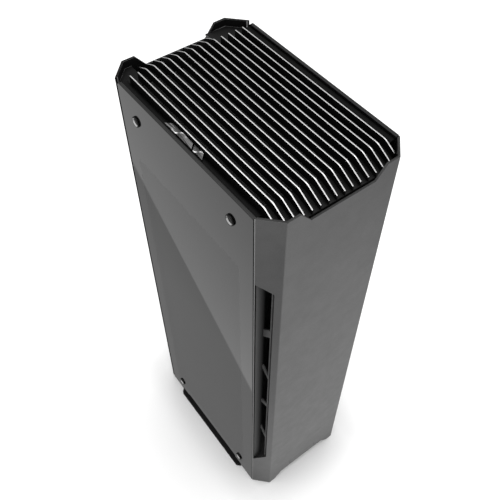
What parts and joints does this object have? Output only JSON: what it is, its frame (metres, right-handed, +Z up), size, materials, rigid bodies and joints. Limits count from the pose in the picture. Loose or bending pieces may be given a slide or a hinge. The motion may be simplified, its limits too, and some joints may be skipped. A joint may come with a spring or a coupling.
{
  "type": "mini tower computer",
  "caption": "Tall slim mini tower computer with folded metal front and rear shells, dark glass sides and a lift-off grille of thin metal fins.",
  "frame": {"origin": "on the floor, under the middle of the case", "axes": "+Z up, -Y towards the front, +X to the right seen from the front"},
  "size_m": [0.1824, 0.274, 0.65],
  "materials": {
    "shell_metal": "fine bead-blasted grey anodising",
    "tinted_glass": "dark tinted, polished",
    "screw_black": "gloss black",
    "foot_rubber": "matt moulded",
    "fin_aluminium": "black sides with bright cut edges",
    "black_plastic": "satin black moulding",
    "black_steel": "black powder coat",
    "grey_plastic": "satin grey moulding",
    "button_chrome": "brushed bright metal",
    "heatsink_aluminium": "plain extruded",
    "circuit_board": "black solder mask",
    "drive_metal": "dark anodised"
  },
  "bodies": {
    "case": {"rear_panel": "shell_metal", "left_glass": "tinted_glass", "right_glass": "tinted_glass", "left_foot_rail": "foot_rubber", "right_foot_rail": "foot_rubber", "left_top_rail": "black_plastic", "right_top_rail": "black_plastic", "usb_ports": "black_plastic", "left_vent_frame": "grey_plastic", "right_vent_frame": "grey_plastic", "base_plate": "black_steel", "front_frame": "black_steel", "rear_frame": "black_steel", "io_plate": "black_steel", "board_tray": "black_steel", "bottom_fan_frame": "black_plastic", "cpu_fan_frame": "black_plastic", "cpu_heatsink": "heatsink_aluminium", "graphics_card": "black_plastic", "motherboard": "circuit_board", "memory_module_a": "circuit_board", "memory_module_b": "circuit_board", "solid_state_drive": "drive_metal", "power_supply": "black_steel", "power_inlet": "black_plastic", "left_screw_bottom_front": "screw_black", "left_screw_bottom_rear": "screw_black", "left_screw_top_front": "screw_black", "left_screw_top_rear": "screw_black", "right_screw_bottom_front": "screw_black", "right_screw_bottom_rear": "screw_black", "right_screw_top_front": "screw_black", "right_screw_top_rear": "screw_black"},
    "front_cover": {"front_panel": "shell_metal"},
    "socket_door": {"io_door": "shell_metal", "io_door_pin": "black_steel"},
    "top_grille": {"fin_01": "fin_aluminium", "fin_02": "fin_aluminium", "fin_03": "fin_aluminium", "fin_04": "fin_aluminium", "fin_05": "fin_aluminium", "fin_06": "fin_aluminium", "fin_07": "fin_aluminium", "fin_08": "fin_aluminium", "fin_09": "fin_aluminium", "fin_10": "fin_aluminium", "fin_11": "fin_aluminium", "fin_12": "fin_aluminium", "fin_13": "fin_aluminium", "fin_14": "fin_aluminium", "fin_15": "fin_aluminium", "fin_16": "fin_aluminium", "grille_frame": "black_plastic", "grille_mesh": "black_steel"},
    "power_switch": {"power_button": "button_chrome"},
    "light_switch": {"light_button": "button_chrome"},
    "filter_tray": {"dust_filter": "black_plastic"},
    "bottom_fan": {"bottom_fan_rotor": "black_plastic"},
    "cpu_fan": {"cpu_fan_rotor": "black_plastic"},
    "graphics_fan": {"graphics_fan_rotor": "black_plastic"}
  },
  "joints": [
    {"name": "front_cover_pull", "type": "slide", "parent": "case", "child": "front_cover", "axis": [0, -1, 0], "range_m": [0, 0.04]},
    {"name": "socket_door_hinge", "type": "hinge", "parent": "front_cover", "child": "socket_door", "pos_m": [0, -0.1336, 0.0184], "axis": [1, 0, 0], "range_deg": [0, 85]},
    {"name": "top_grille_lift", "type": "slide", "parent": "case", "child": "top_grille", "axis": [0, 0, 1], "range_m": [0, 0.04]},
    {"name": "power_button_press", "type": "slide", "parent": "case", "child": "power_switch", "axis": [0, 0, -1], "range_m": [0, 0.0015], "stiffness_N_per_m": 800, "springref_m": -0.001},
    {"name": "light_button_press", "type": "slide", "parent": "case", "child": "light_switch", "axis": [0, 0, -1], "range_m": [0, 0.0015], "stiffness_N_per_m": 800, "springref_m": -0.001},
    {"name": "dust_filter_slide", "type": "slide", "parent": "case", "child": "filter_tray", "axis": [0, -1, 0], "range_m": [0, 0.19]},
    {"name": "bottom_fan_spin", "type": "hinge", "parent": "case", "child": "bottom_fan", "pos_m": [0, 0, 0.025], "axis": [0, 0, 1], "continuous": true},
    {"name": "cpu_fan_spin", "type": "hinge", "parent": "case", "child": "cpu_fan", "pos_m": [-0.055, 0, 0.47], "axis": [-1, 0, 0], "continuous": true},
    {"name": "graphics_fan_spin", "type": "hinge", "parent": "case", "child": "graphics_fan", "pos_m": [0.05, 0.002, 0.468], "axis": [1, 0, 0], "continuous": true}
  ]
}
